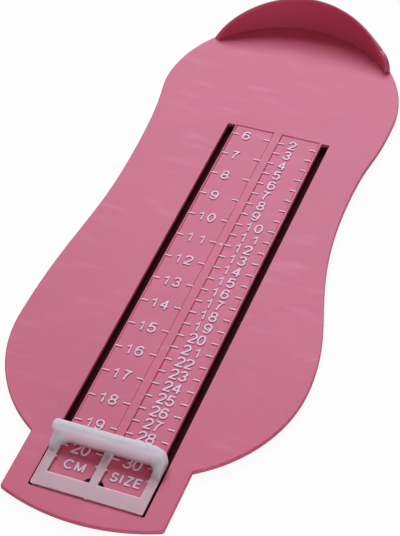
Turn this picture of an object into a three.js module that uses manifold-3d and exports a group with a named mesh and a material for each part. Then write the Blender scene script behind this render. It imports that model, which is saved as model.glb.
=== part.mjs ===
// Foot measuring device: a foot-shaped base plate with a heel cup, a raised scale and two slots,
// and a toe slider that clips round the scale strip and runs along the slots.
// Millimetres. While the pieces are made, X = 0 is the middle of the scale strip, Y = 0 is the
// scale's zero line, Z = 0 is the top of the plate, +Y points to the heel and +X to the right.
import * as THREE from 'three';
import { mergeVertices } from 'three/addons/utils/BufferGeometryUtils.js';
import Module from 'manifold-3d';

// Plate outline: a heel circle and a ball circle joined by two waist curves
const plateThickness = 1.5;
const plateEdgeChamfer = 0.3;
const heelRadius = 40.8;
const heelCentreX = -5.8;
const heelCentreY = -39.4;
const ballRadius = 46.9;
const ballCentreX = -0.8;
const ballCentreY = -157.8;
const leftWaistX = -42.8;
const leftWaistY = -88;
const leftHandles = { heel: 8, waistUp: 37.5, waistDown: 25, ball: 32 };
const rightWaistX = 32.3;
const rightWaistY = -78.5;
const rightHandles = { heel: 21.5, waistUp: 21.5, waistDown: 42.5, ball: 28 };
const tongueHalfWidth = 24.9;
const toeRadius = 66.2;
const toeCornerRadius = 1;

// Heel cup: a wall on the heel's edge with a thin rim, nearly a half ellipse seen from the toe end
const cupHeight = 12.9;
const cupHalfWidth = 31.1;
const cupCentreX = -6.3;
const cupRimPower = 1.85;
const cupBaseThickness = 2.3;
const cupRimThickness = 0.25;
const cupInnerDraft = 0.045;
const cupEdgeStep = 0.1;
const cupOuterFall = 3.6;
const cupRightShoulder = 5.4;
const cupShoulderFrom = 0.88;
const cupShoulderPower = 2.6;
const cupLeastFall = 0.2;
const cupRoot = 0.6;
const cupStations = 36;
const cupCurveSteps = 4;

// Scale strip between the two slots, with a recessed panel on each side of a middle rib. The slots
// and the slider lie a little to the right of the scale's middle
const slotInnerX = 15.25;
const slotWidth = 2.65;
const trackShiftX = 0.17;
const slotBeforeFirstMark = 4;
const slotToToeEdge = 7.7;
const ribHalfWidth = 1.7;
const landWidth = 0.85;
const panelDepth = 0.35;
const panelToSlotEnd = 1.7;
const hangHoleRadius = 3.3;
const hangHoleToSlotEnd = 5.1;

// Raised tick marks: centimetres on the left, shoe sizes on the right
const tickLength = 1.95;
const tickWidth = 0.5;
const tickHeight = 0.3;
const centimetre = 10;
const firstCentimetre = 6;
const lastCentimetre = 20;
const sizePitch = 5;
const firstSize = 2;
const lastSize = 30;

// Ribs under the plate, which it stands on and which keep the slider's hooks off the table
const footRibHeight = 1.5;
const footRibThickness = 1.4;
const footRibInset = 3;
const railGap = 0.9;
const slotEndRibGap = 1.6;
const spineHoleGap = 1.2;
const braceYs = [-95, -150];

// Toe slider: a flat frame with two windows, an upright stop, and hooks through the slots
const sideClearance = 0.6;
const endClearance = 0.3;
const topClearance = 0.1;
const underClearance = 0.1;
const frameThickness = 0.6;
const frameLength = 19;
const barWidth = 3;
const dividerHalfWidth = 1.4;
const toeBarWidth = 5.4;
const stopThickness = 2.1;
const stopHeight = 6.8;
const lipHeight = 2.4;
const lipDepth = 3;
const lipLeftOverhang = 0.35;
const lipEdgeRadius = 0.8;
const lipPlanRadius = 1;
const leftCornerRadius = 1.1;
const rightCornerRadius = 4.5;
const gussetHeight = 2.9;
const gussetLength = 4;
const gussetSteps = 4;
const footFilletRadius = 0.8;
const pointerLength = 0.6;
const pointerWidth = 0.7;
const pointerFromStop = 5.7;
const gateRadius = 0.45;
const legThickness = 1.1;
const legInset = 0.6;
const legLength = 6;
const hookCatch = 0.4;
const hookDepth = 0.9;
const hookLip = 0.3;

// How finely round stretches are cut: the greatest gap between a chord and its arc
const chordSag = 0.04;
const waistSteps = 12;

// How far joined solids sink into each other, how far cuts run past, and what counts as one point
const joinDepth = 0.2;
const cutPast = 1;
const samePoint = 1e-4;

const plateBottomZ = -plateThickness;
const standZ = plateBottomZ - footRibHeight;
const slotHeelY = -centimetre * firstCentimetre + slotBeforeFirstMark;
const slotToeY = ballCentreY - toeRadius + slotToToeEdge;
const panelToeY = slotToeY + panelToSlotEnd;
const hangHoleY = slotToeY + hangHoleToSlotEnd;
const slotOuterX = slotInnerX + slotWidth;
const panelOuterX = slotInnerX - landWidth;
const panelFloorZ = -panelDepth;
const frameHalfWidth = slotOuterX - sideClearance;
const frameToeY = slotToeY + endClearance;
const stopHeelY = frameToeY + frameLength;
const stopToeY = stopHeelY - stopThickness;
const frameBottomZ = topClearance;
const frameTopZ = frameBottomZ + frameThickness;

const wasm = await Module();
wasm.setup();

// A closed three.js geometry as a solid that can be joined and cut
function solid(geometry) {
  const bare = new THREE.BufferGeometry();
  bare.setAttribute('position', geometry.getAttribute('position'));
  bare.setIndex(geometry.getIndex());
  const merged = mergeVertices(bare, samePoint / 10);
  return new wasm.Manifold(new wasm.Mesh({
    numProp: 3,
    vertProperties: new Float32Array(merged.getAttribute('position').array),
    triVerts: new Uint32Array(merged.getIndex().array),
  }));
}

// The finished solid as a named mesh with its own material
function piece(name, manifold, material) {
  const mesh = manifold.getMesh();
  const geometry = new THREE.BufferGeometry();
  geometry.setAttribute('position', new THREE.BufferAttribute(mesh.vertProperties, 3));
  geometry.setIndex(new THREE.BufferAttribute(mesh.triVerts, 1));
  const part = new THREE.Mesh(geometry, new THREE.MeshStandardMaterial(material));
  part.name = name;
  return part;
}

function at(x, y) {
  return new THREE.Vector2(x, y);
}

// A block between two corners
function block(x0, x1, y0, y1, z0, z1) {
  const geometry = new THREE.BoxGeometry(x1 - x0, y1 - y0, z1 - z0);
  geometry.translate((x0 + x1) / 2, (y0 + y1) / 2, (z0 + z1) / 2);
  return solid(geometry);
}

// An outline in X and Y, raised from z0 to z1
function raised(shape, z0, z1) {
  const geometry = new THREE.ExtrudeGeometry(shape, { depth: z1 - z0, bevelEnabled: false });
  geometry.translate(0, 0, z0);
  return solid(geometry);
}

// An outline in Y (across) and Z (up), carried along X from x0 to x1
function carriedAlongX(shape, x0, x1) {
  const geometry = new THREE.ExtrudeGeometry(shape, { depth: x1 - x0, bevelEnabled: false });
  geometry.rotateX(Math.PI / 2);
  geometry.rotateZ(Math.PI / 2);
  geometry.translate(x0, 0, 0);
  return solid(geometry);
}

// An outline in X (across) and Z (up), carried along Y from y0 to y1
function carriedAlongY(shape, y0, y1) {
  const geometry = new THREE.ExtrudeGeometry(shape, { depth: y1 - y0, bevelEnabled: false });
  geometry.rotateX(Math.PI / 2);
  geometry.translate(0, y1, 0);
  return solid(geometry);
}

function joined(solids) {
  return solids.reduce((all, next) => all.add(next));
}

// Points of an arc from angle a0 to a1, in radians, both ends included
function arc(cx, cy, radius, a0, a1) {
  const step = 2 * Math.acos(1 - chordSag / radius);
  const count = Math.max(2, Math.ceil(Math.abs(a1 - a0) / step));
  return Array.from({ length: count + 1 }, (_, i) => {
    const a = a0 + (a1 - a0) * i / count;
    return at(cx + radius * Math.cos(a), cy + radius * Math.sin(a));
  });
}

// Points of a curve between two places where the side runs straight along Y
function side(x0, y0, handle0, x1, y1, handle1) {
  const curve = new THREE.CubicBezierCurve(at(x0, y0), at(x0, y0 - handle0), at(x1, y1 + handle1), at(x1, y1));
  return curve.getPoints(waistSteps);
}

// A round corner of the toe edge: its centre, and the angle at which the toe arc takes over. The
// side is 1 on the right and -1 on the left, where the tongue lies farther from the ball's centre
function toeCorner(hand, inset) {
  const radius = Math.max(toeCornerRadius - inset, toeCornerRadius / 2);
  const x = hand * (tongueHalfWidth - inset - radius);
  const reach = toeRadius - inset - radius;
  const angle = Math.acos(hand * (x - ballCentreX) / reach);
  return { radius, x, y: ballCentreY - reach * Math.sin(angle), angle };
}

// The foot outline, drawn in by the same amount all round
function footOutline(inset) {
  const heel = heelRadius - inset;
  const ball = ballRadius - inset;
  const tongueX = tongueHalfWidth - inset;
  const rightNeck = Math.acos((tongueX - ballCentreX) / ball);
  const leftNeck = Math.acos((ballCentreX + tongueX) / ball);
  const right = toeCorner(1, inset);
  const left = toeCorner(-1, inset);
  const points = [
    ...arc(heelCentreX, heelCentreY, heel, Math.PI, 0),
    ...side(heelCentreX + heel, heelCentreY, rightHandles.heel,
      rightWaistX - inset, rightWaistY, rightHandles.waistUp),
    ...side(rightWaistX - inset, rightWaistY, rightHandles.waistDown,
      ballCentreX + ball, ballCentreY, rightHandles.ball),
    ...arc(ballCentreX, ballCentreY, ball, 0, -rightNeck),
    ...arc(right.x, right.y, right.radius, 0, -right.angle),
    ...arc(ballCentreX, ballCentreY, toeRadius - inset, -right.angle, left.angle - Math.PI),
    ...arc(left.x, left.y, left.radius, left.angle - Math.PI, -Math.PI),
    ...arc(ballCentreX, ballCentreY, ball, leftNeck - Math.PI, -Math.PI),
    ...side(leftWaistX + inset, leftWaistY, leftHandles.waistDown,
      ballCentreX - ball, ballCentreY, leftHandles.ball).reverse(),
    ...side(heelCentreX - heel, heelCentreY, leftHandles.heel,
      leftWaistX + inset, leftWaistY, leftHandles.waistUp).reverse(),
  ];
  const apart = (p, i) => p.distanceTo(points[(i + 1) % points.length]) > samePoint;
  return points.filter(apart);
}

// The flat plate, with its edge chamfered above and below
function plate() {
  const geometry = new THREE.ExtrudeGeometry(new THREE.Shape(footOutline(0)), {
    depth: plateThickness - 2 * plateEdgeChamfer,
    bevelThickness: plateEdgeChamfer,
    bevelSize: plateEdgeChamfer,
    bevelOffset: -plateEdgeChamfer,
    bevelSegments: 1,
  });
  geometry.translate(0, 0, plateBottomZ + plateEdgeChamfer);
  return solid(geometry);
}

// The rim's height over the plate at a place along the cup, from -1 on the left to 1 on the right
function cupRimZ(along) {
  const rise = (1 - Math.abs(along) ** cupRimPower) ** (1 / cupRimPower);
  return (cupHeight + joinDepth) * rise - joinDepth;
}

// The right end's shoulder: level nearly to the end, where it falls as a blunt superellipse. The
// left end has none and thins away
function cupShoulderZ(along) {
  if (along <= 0) return -cupRoot;
  const late = Math.max(0, (along - cupShoulderFrom) / (1 - cupShoulderFrom));
  const rise = (1 - late ** cupShoulderPower) ** (1 / cupShoulderPower);
  return (cupRightShoulder + joinDepth) * rise - joinDepth;
}

// The heel cup's section at one station, in distance from the heel's centre and height. Outside, a
// quarter ellipse falls from the rim
function cupSection(along) {
  const keptZ = cupShoulderZ(along);
  const rimZ = Math.max(cupRimZ(along), keptZ);
  const innerR = heelRadius - cupBaseThickness;
  const outerR = heelRadius - cupEdgeStep;
  const rimInnerR = innerR + cupInnerDraft * rimZ;
  const rimOuterR = rimInnerR + cupRimThickness;
  const shoulderZ = Math.min(Math.max(rimZ - cupOuterFall, keptZ), rimZ - cupLeastFall);
  const fall = rimZ - shoulderZ;
  const sunkZ = -cupRoot / 2;
  const quarter = shoulderZ < sunkZ ? Math.acos((sunkZ - shoulderZ) / fall) : Math.PI / 2;
  const section = [[innerR, -cupRoot], [rimInnerR, rimZ]];
  for (let i = 0; i <= cupCurveSteps; i += 1) {
    const a = quarter * i / cupCurveSteps;
    section.push([rimOuterR + (outerR - rimOuterR) * Math.sin(a), shoulderZ + fall * Math.cos(a)]);
  }
  section.push([section.at(-1)[0], -cupRoot]);
  return section;
}

// The heel cup: its section carried round the heel, closed by a fan of triangles at each end
function heelCup() {
  const rimR = heelRadius - cupBaseThickness + cupInnerDraft * cupHeight + cupRimThickness;
  const positions = [];
  const index = [];
  const ring = cupSection(0).length;
  for (let i = 0; i <= cupStations; i += 1) {
    const along = Math.sin(Math.PI * (i / cupStations - 0.5));
    const a = Math.asin((cupCentreX + cupHalfWidth * along - heelCentreX) / rimR);
    for (const [r, z] of cupSection(along)) {
      positions.push(heelCentreX + r * Math.sin(a), heelCentreY + r * Math.cos(a), z);
    }
  }
  for (let i = 0; i < cupStations; i += 1) {
    for (let j = 0; j < ring; j += 1) {
      const near = i * ring + j;
      const nearNext = i * ring + (j + 1) % ring;
      index.push(near, near + ring, nearNext);
      index.push(nearNext, near + ring, nearNext + ring);
    }
  }
  const last = cupStations * ring;
  for (let j = 1; j < ring - 1; j += 1) {
    index.push(0, j, j + 1);
    index.push(last, last + j + 1, last + j);
  }
  const geometry = new THREE.BufferGeometry();
  geometry.setAttribute('position', new THREE.Float32BufferAttribute(positions, 3));
  geometry.setIndex(index);
  return solid(geometry);
}

// Raised ticks: one at each side of a panel, for every mark from the first to the last
function ticks(mirror, first, last, markY) {
  const bars = [];
  for (let mark = first; mark <= last; mark += 1) {
    const y = markY(mark);
    for (const start of [ribHalfWidth, panelOuterX - tickLength]) {
      const ends = [mirror * start, mirror * (start + tickLength)].sort((a, b) => a - b);
      bars.push(block(...ends, y - tickWidth / 2, y + tickWidth / 2,
        panelFloorZ - joinDepth, panelFloorZ + tickHeight));
    }
  }
  return joined(bars);
}

// What is cut out of the plate: the slots, the two panels and the hang hole
function cuts() {
  const through = (x0, x1) => block(x0, x1, slotToeY, slotHeelY, standZ - cutPast, cutPast);
  const panel = (x0, x1) => block(x0, x1, panelToeY, slotHeelY, panelFloorZ, cutPast);
  const hole = new THREE.Shape(arc(0, hangHoleY, hangHoleRadius, 0, 2 * Math.PI).slice(1));
  return joined([
    through(trackShiftX - slotOuterX, trackShiftX - slotInnerX),
    through(trackShiftX + slotInnerX, trackShiftX + slotOuterX),
    panel(-panelOuterX, -ribHalfWidth),
    panel(ribHalfWidth, panelOuterX),
    raised(hole, standZ - cutPast, cutPast),
  ]);
}

// Ribs under the plate: one round the edge, a rail beside each slot, a spine under the strip,
// a rib past each end of the slots, and braces from the rails to the edge
function footRibs() {
  const top = plateBottomZ + joinDepth;
  const inside = (inset, z0) => raised(new THREE.Shape(footOutline(inset)), z0, top);
  const edge = inside(footRibInset, standZ)
    .subtract(inside(footRibInset + footRibThickness, standZ - joinDepth));
  const railIn = slotOuterX + railGap;
  const railOut = railIn + footRibThickness;
  const [leftOut, leftIn, rightIn, rightOut] = [-railOut, -railIn, railIn, railOut]
    .map((x) => x + trackShiftX);
  const heelRibY = slotHeelY + slotEndRibGap;
  const toeRibY = slotToeY - slotEndRibGap;
  const spineToeY = hangHoleY + hangHoleRadius + spineHoleGap;
  const bar = (x0, x1, y0, y1) => block(x0, x1, y0, y1, standZ, top);
  const ribs = [
    edge,
    bar(leftOut, leftIn, toeRibY, heelRibY + footRibThickness),
    bar(rightIn, rightOut, toeRibY, heelRibY + footRibThickness),
    bar(leftOut, rightOut, heelRibY, heelRibY + footRibThickness),
    bar(leftOut, rightOut, toeRibY - footRibThickness, toeRibY),
    bar(-footRibThickness / 2, footRibThickness / 2, spineToeY, heelRibY),
  ];
  for (const y of braceYs) {
    ribs.push(bar(rightIn, -leftWaistX, y, y + footRibThickness));
    ribs.push(bar(leftWaistX, leftIn, y, y + footRibThickness));
  }
  return joined(ribs).intersect(inside(footRibInset, standZ));
}

function basePlate() {
  const centimetreTicks = ticks(-1, firstCentimetre, lastCentimetre, (n) => -centimetre * n);
  const zeroSizeY = -firstCentimetre * centimetre + firstSize * sizePitch;
  const sizeTicks = ticks(1, firstSize, lastSize, (n) => zeroSizeY - sizePitch * n);
  return joined([plate(), heelCup(), footRibs()])
    .subtract(cuts())
    .add(centimetreTicks)
    .add(sizeTicks);
}

// The slider's flat frame: two windows, with a pointer on each side of each window
function sliderFrame() {
  const pane = (x0, x1) => block(x0, x1, frameToeY + toeBarWidth, stopToeY, frameBottomZ - cutPast, stopHeight);
  const windowOuterX = frameHalfWidth - barWidth;
  const sheet = block(-frameHalfWidth, frameHalfWidth, frameToeY, stopHeelY, frameBottomZ, frameTopZ)
    .subtract(pane(-windowOuterX, -dividerHalfWidth))
    .subtract(pane(dividerHalfWidth, windowOuterX));
  const pointerY = stopToeY - pointerFromStop;
  const pointers = [];
  for (const x of [-windowOuterX, -dividerHalfWidth, dividerHalfWidth, windowOuterX]) {
    const into = (Math.abs(x) === windowOuterX ? -1 : 1) * Math.sign(x);
    const tip = new THREE.Shape([
      at(x - into * joinDepth, pointerY + pointerWidth / 2),
      at(x - into * joinDepth, pointerY - pointerWidth / 2),
      at(x + into * pointerLength, pointerY),
    ]);
    pointers.push(raised(tip, frameBottomZ, frameTopZ));
  }
  const gate = new THREE.Shape(arc(0, frameToeY, gateRadius, Math.PI, 2 * Math.PI));
  return joined([sheet, ...pointers, raised(gate, frameBottomZ, frameTopZ)]);
}

// The upright toe stop: its side view, a wall with a lip on top that reaches back to the heel, cut
// to its plan and its front view, where the lip juts out on the left and the right corner is round
function sliderStop() {
  const lipHeelY = stopToeY + lipDepth;
  const lipBottomZ = stopHeight - lipHeight;
  const leftX = -frameHalfWidth - lipLeftOverhang;
  const corner = (x, radius, a0) => arc(x, stopHeight - radius, radius, a0, a0 + Math.PI / 2);
  const sideView = new THREE.Shape([
    at(stopToeY, frameBottomZ),
    at(stopHeelY, frameBottomZ),
    at(stopHeelY, lipBottomZ - (lipDepth - stopThickness)),
    at(lipHeelY, lipBottomZ),
    ...corner(lipHeelY - lipEdgeRadius, lipEdgeRadius, 0),
    ...corner(stopToeY + lipEdgeRadius, lipEdgeRadius, Math.PI / 2),
  ]);
  const frontView = new THREE.Shape([
    at(-frameHalfWidth, frameBottomZ),
    at(frameHalfWidth, frameBottomZ),
    ...corner(frameHalfWidth - rightCornerRadius, rightCornerRadius, 0),
    ...corner(leftX + leftCornerRadius, leftCornerRadius, Math.PI / 2),
    at(leftX, lipBottomZ),
    at(-frameHalfWidth, lipBottomZ - lipLeftOverhang),
  ]);
  const planRight = frameHalfWidth - lipPlanRadius;
  const planLeft = leftX + lipPlanRadius;
  const planHeel = lipHeelY - lipPlanRadius;
  const plan = new THREE.Shape([
    at(leftX, stopToeY - cutPast),
    at(frameHalfWidth, stopToeY - cutPast),
    ...arc(planRight, planHeel, lipPlanRadius, 0, Math.PI / 2),
    ...arc(planLeft, planHeel, lipPlanRadius, Math.PI / 2, Math.PI),
  ]);
  return carriedAlongX(sideView, leftX - cutPast, frameHalfWidth + cutPast)
    .intersect(carriedAlongY(frontView, stopToeY - cutPast, lipHeelY + cutPast))
    .intersect(raised(plan, frameBottomZ - cutPast, stopHeight + cutPast));
}

// A convex gusset on each side bar, and a hollow fillet where the divider meets the stop's foot
function sliderGussets() {
  const slope = Array.from({ length: gussetSteps + 1 }, (_, i) => {
    const a = Math.PI / 2 * i / gussetSteps;
    return at(stopToeY - gussetLength * Math.sin(a), frameTopZ + gussetHeight * Math.cos(a));
  });
  const gusset = new THREE.Shape([
    at(stopToeY + joinDepth, frameBottomZ),
    at(stopToeY + joinDepth, frameTopZ + gussetHeight),
    ...slope,
    at(stopToeY - gussetLength, frameBottomZ),
  ]);
  const filletY = stopToeY - footFilletRadius;
  const fillet = new THREE.Shape([
    at(stopToeY + joinDepth, frameBottomZ),
    at(stopToeY + joinDepth, frameTopZ + footFilletRadius),
    ...arc(filletY, frameTopZ + footFilletRadius, footFilletRadius, 0, -Math.PI / 2),
    at(filletY, frameBottomZ),
  ]);
  return joined([
    carriedAlongX(gusset, -frameHalfWidth, -frameHalfWidth + barWidth),
    carriedAlongX(gusset, frameHalfWidth - barWidth, frameHalfWidth),
    carriedAlongX(fillet, -dividerHalfWidth, dividerHalfWidth),
  ]);
}

// Two legs a side, through the slots, each with a hook that catches under the strip's edge
function sliderLegs() {
  const catchZ = plateBottomZ - underClearance;
  const toeZ = catchZ - hookDepth;
  const outer = frameHalfWidth - legInset;
  const inner = outer - legThickness;
  const tip = slotInnerX - hookCatch;
  const profile = (hand) => new THREE.Shape([
    [outer, frameTopZ],
    [inner, frameTopZ],
    [inner, catchZ],
    [tip, catchZ],
    [tip, catchZ - hookLip],
    [inner, toeZ],
    [outer, toeZ],
  ].map(([x, z]) => at(hand * x, z)));
  const starts = [frameToeY, stopHeelY - legLength];
  const pair = (hand) => starts.map((y) => carriedAlongY(profile(hand), y, y + legLength));
  return joined([...pair(-1), ...pair(1)]);
}

function toeSlider() {
  return joined([sliderFrame(), sliderStop(), sliderGussets(), sliderLegs()])
    .translate([trackShiftX, 0, 0]);
}

const pinkPlastic = { color: 0xcc7a97, roughness: 0.45, metalness: 0 };
const whitePlastic = { color: 0xe9e4e6, roughness: 0.4, metalness: 0 };

const device = new THREE.Group();
device.add(piece('base_plate', basePlate(), pinkPlastic));
device.add(piece('toe_slider', toeSlider(), whitePlastic));

// The finished device stands on its ribs, with its origin under the middle of its outline
const middleX = ballCentreX;
const middleY = (heelCentreY + heelRadius + ballCentreY - toeRadius) / 2;
device.position.set(-middleX, -middleY, -standZ);

const model = new THREE.Group();
model.add(device);

export default model;
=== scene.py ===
# Looks of the foot measuring device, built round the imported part. Shapes are worked out in
# millimetres with X = 0 on the middle of the scale strip, Y = 0 on the scale's zero line and Z = 0
# on the plate's top, +Y to the heel, and are put into the part's own frame when a mesh is made.
import math
import bmesh
import bpy
import numpy as np
from mathutils import Matrix, Vector
from mathutils.geometry import delaunay_2d_cdt


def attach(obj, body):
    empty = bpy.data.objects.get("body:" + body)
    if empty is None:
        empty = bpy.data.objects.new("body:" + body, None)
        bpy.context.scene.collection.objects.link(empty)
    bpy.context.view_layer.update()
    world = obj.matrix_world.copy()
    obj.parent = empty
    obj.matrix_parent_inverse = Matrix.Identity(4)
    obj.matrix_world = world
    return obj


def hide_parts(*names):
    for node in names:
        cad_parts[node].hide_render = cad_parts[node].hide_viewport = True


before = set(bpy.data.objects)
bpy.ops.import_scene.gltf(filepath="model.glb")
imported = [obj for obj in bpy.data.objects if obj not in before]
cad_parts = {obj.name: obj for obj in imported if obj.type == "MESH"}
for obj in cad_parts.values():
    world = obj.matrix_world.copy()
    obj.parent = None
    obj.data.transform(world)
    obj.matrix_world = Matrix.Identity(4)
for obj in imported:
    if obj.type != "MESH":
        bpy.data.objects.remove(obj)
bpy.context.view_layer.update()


# The pink moulding: a foot-shaped plate with a soft edge, two long slots, two sunk panels under
# the scale and a hang hole, all moulded in one in a matt pink plastic.
PLATE = 1.5
HEEL, HEEL_R = (-5.8, -39.4), 40.8
BALL, BALL_R = (-0.8, -157.8), 46.9
LEFT_WAIST, RIGHT_WAIST = (-42.8, -88.0), (32.3, -78.5)
TONGUE, TOE_R, TOE_CORNER = 24.9, 66.2, 1.0
SLOT_IN, SLOT_OUT, SLOT_HEEL, SLOT_TOE = 15.25, 17.9, -56.0, -216.3
TRACK = 0.17  # the slots and the slider lie this far to the right of the scale's middle
RIB, PANEL_OUT, PANEL_TOE, PANEL_DEPTH = 1.7, 14.4, -214.6, 0.35
HOLE_Y, HOLE_R = -211.2, 3.3
TO_PART = np.array([0.8, 111.3, 3.0])


def arc(x, y, radius, a0, a1, steps):
    """Points of an arc from angle a0 to a1, both ends included."""
    a = np.linspace(a0, a1, steps + 1)
    return np.stack([x + radius * np.cos(a), y + radius * np.sin(a)], 1)


def waist(x0, y0, handle0, x1, y1, handle1, steps=36):
    """A cubic curve between two places where the side runs straight along Y."""
    t = np.linspace(0, 1, steps + 1)[:, None]
    p = np.array([[x0, y0], [x0, y0 - handle0], [x1, y1 + handle1], [x1, y1]])
    return ((1 - t) ** 3 * p[0] + 3 * t * (1 - t) ** 2 * p[1]
            + 3 * t ** 2 * (1 - t) * p[2] + t ** 3 * p[3])


def outline(inset):
    """The foot outline drawn in by inset, anticlockwise, always with the same number of points."""
    heel, ball, tongue = HEEL_R - inset, BALL_R - inset, TONGUE - inset
    corner = max(TOE_CORNER - inset, TOE_CORNER / 2)
    reach = TOE_R - inset - corner
    right_x, left_x = tongue - corner, corner - tongue
    right_a = math.acos((right_x - BALL[0]) / reach)
    left_a = math.acos((BALL[0] - left_x) / reach)
    right_y, left_y = BALL[1] - reach * math.sin(right_a), BALL[1] - reach * math.sin(left_a)
    right_neck = math.acos((tongue - BALL[0]) / ball)
    left_neck = math.acos((BALL[0] + tongue) / ball)
    right, left = RIGHT_WAIST[0] - inset, LEFT_WAIST[0] + inset
    parts = [
        arc(*HEEL, heel, math.pi, 0, 120),
        waist(HEEL[0] + heel, HEEL[1], 21.5, right, RIGHT_WAIST[1], 21.5),
        waist(right, RIGHT_WAIST[1], 42.5, BALL[0] + ball, BALL[1], 28),
        arc(*BALL, ball, 0, -right_neck, 48),
        arc(right_x, right_y, corner, 0, -right_a, 6),
        arc(*BALL, TOE_R - inset, -right_a, left_a - math.pi, 60),
        arc(left_x, left_y, corner, left_a - math.pi, -math.pi, 6),
        arc(*BALL, ball, left_neck - math.pi, -math.pi, 48),
        waist(left, LEFT_WAIST[1], 25, BALL[0] - ball, BALL[1], 32)[::-1],
        waist(HEEL[0] - heel, HEEL[1], 8, left, LEFT_WAIST[1], 37.5)[::-1],
    ]
    points = np.concatenate(parts)
    apart = np.linalg.norm(points - np.roll(points, -1, 0), axis=1) > 1e-3
    return points[apart][::-1]


def grown(loop, by):
    """An anticlockwise loop with its sides moved out by that much. A corner moves along the sum of
    its two normals, divided by one plus their dot product."""
    side = np.roll(loop, -1, 0) - loop
    after = np.stack([side[:, 1], -side[:, 0]], 1) / np.linalg.norm(side, axis=1)[:, None]
    before = np.roll(after, 1, 0)
    return loop + by * (before + after) / (1 + (before * after).sum(1))[:, None]


def box_loop(x0, x1, y0, y1, radius, steps=4):
    """A rectangle with round corners, anticlockwise."""
    q = math.pi / 2
    return np.concatenate([
        arc(x1 - radius, y1 - radius, radius, 0, q, steps),
        arc(x0 + radius, y1 - radius, radius, q, 2 * q, steps),
        arc(x0 + radius, y0 + radius, radius, 2 * q, 3 * q, steps),
        arc(x1 - radius, y0 + radius, radius, 3 * q, 4 * q, steps),
    ])


def rounding(top, bottom, r_top, r_bottom, steps=4, wide=1.0):
    """How far a side stands back, and its height, from the flat top over a round edge, down, and
    over a round edge to the flat bottom: r (1 - sin t) back and r (1 - cos t) down. The upper
    edge may be wider than it is high."""
    t = np.linspace(0, math.pi / 2, steps + 1)
    upper = np.stack([wide * r_top * (1 - np.sin(t)), top - r_top * (1 - np.cos(t))], 1)
    lower = np.stack([r_bottom * (1 - np.sin(t)), bottom + r_bottom * (1 - np.cos(t))], 1)
    return np.concatenate([upper, lower[::-1]])


def grid(points, ring=True):
    """Quads over rows of points (rows x columns x 3), the last column joined to the first."""
    rows, cols = points.shape[:2]
    i, j = np.meshgrid(np.arange(rows - 1), np.arange(cols if ring else cols - 1), indexing="ij")
    k = (j + 1) % cols
    quads = np.stack([i * cols + j, i * cols + k, (i + 1) * cols + k, (i + 1) * cols + j], -1)
    return points.reshape(-1, 3), quads.reshape(-1, 4).tolist(), True


def lifted(rings, heights):
    """Flat rings (rows x columns x 2), each at its own height."""
    rings = np.asarray(rings)
    z = np.broadcast_to(np.asarray(heights)[:, None, None], rings.shape[:2] + (1,))
    return np.concatenate([rings, z], 2)


def flat(outer, holes, z):
    """Triangles that fill the outer loop round its holes, at height z."""
    loops = [outer, *holes]
    points = np.concatenate(loops)
    ends = np.cumsum([0] + [len(loop) for loop in loops])
    faces = [list(range(a, b)) for a, b in zip(ends, ends[1:])]
    _, _, triangles, source, _, inside = delaunay_2d_cdt(
        [Vector(p) for p in points], [], faces, 1, 1e-6)
    kept = [[source[v][0] for v in t] for t, held in zip(triangles, inside) if list(held) == [0]]
    return np.column_stack([points, np.full(len(points), z)]), kept, False


def slab(loop, holes, low, high, edge, hole_steps=None):
    """A flat piece between two heights, its outer edge rounded above and below, and its holes'
    edges by steps of their own."""
    steps = rounding(high, low, edge, edge)
    chunks = [grid(lifted([grown(loop, -back) for back, _ in steps], steps[:, 1]))]
    for hole in holes:
        chunks.append(grid(lifted([grown(hole, back) for back, _ in hole_steps], hole_steps[:, 1])))
    for z, end in ((high, 0), (low, -1)):
        openings = [grown(hole, hole_steps[end, 0]) for hole in holes]
        chunks.append(flat(grown(loop, -edge), openings, z))
    return chunks


def mark_rims(mesh):
    """Keeps how far each point lies on a rounded outer edge, 0 to 1, for the finishes' wear and
    painted edge highlight.
    """
    work = bmesh.new()
    work.from_mesh(mesh)
    bend = [max((e.calc_face_angle_signed(0.0) for e in v.link_edges), default=0.0)
            if all(f.smooth for f in v.link_faces) else 0.0 for v in work.verts]
    work.free()
    rim = mesh.attributes.new("rim", "FLOAT", "POINT")
    rim.data.foreach_set("value", np.clip(np.array(bend) / math.radians(12), 0, 1))


def made(name, chunks, body):
    """One object from chunks of (points in mm, faces, smooth), joined where they meet, with its
    faces turned outwards, riding on a body."""
    points, faces, smooth, start = [], [], [], 0
    for co, quads, soft in chunks:
        points.append(co)
        faces += [[start + v for v in face] for face in quads]
        smooth += [soft] * len(quads)
        start += len(co)
    mesh = bpy.data.meshes.new(name)
    mesh.from_pydata((np.concatenate(points) + TO_PART) / 1000, [], faces)
    mesh.polygons.foreach_set("use_smooth", np.array(smooth, bool))
    work = bmesh.new()
    work.from_mesh(mesh)
    bmesh.ops.remove_doubles(work, verts=work.verts, dist=1e-7)
    bmesh.ops.delete(work, geom=[v for v in work.verts if not v.link_faces], context="VERTS")
    bmesh.ops.recalc_face_normals(work, faces=work.faces)
    work.to_mesh(mesh)
    work.free()
    mark_rims(mesh)
    obj = bpy.data.objects.new(name, mesh)
    bpy.context.scene.collection.objects.link(obj)
    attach(obj, body)
    return obj


EDGE, FINE, SLOPE = 0.35, 0.12, 0.4
slots = [box_loop(TRACK + a, TRACK + b, SLOT_TOE, SLOT_HEEL, 0.3)
         for a, b in ((-SLOT_OUT, -SLOT_IN), (SLOT_IN, SLOT_OUT))]
# The hang hole crosses the middle rib: four arcs, cut where the rib's sides meet the circle
meet = math.acos(RIB / HOLE_R)
lower_rib = arc(0, HOLE_Y, HOLE_R, -math.pi + meet, -meet, 16)
right_bow = arc(0, HOLE_Y, HOLE_R, -meet, meet, 20)
upper_rib = arc(0, HOLE_Y, HOLE_R, meet, math.pi - meet, 16)
left_bow = arc(0, HOLE_Y, HOLE_R, math.pi - meet, math.pi + meet, 20)
hole = np.concatenate([p[:-1] for p in (lower_rib, right_bow, upper_rib, left_bow)])
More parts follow.
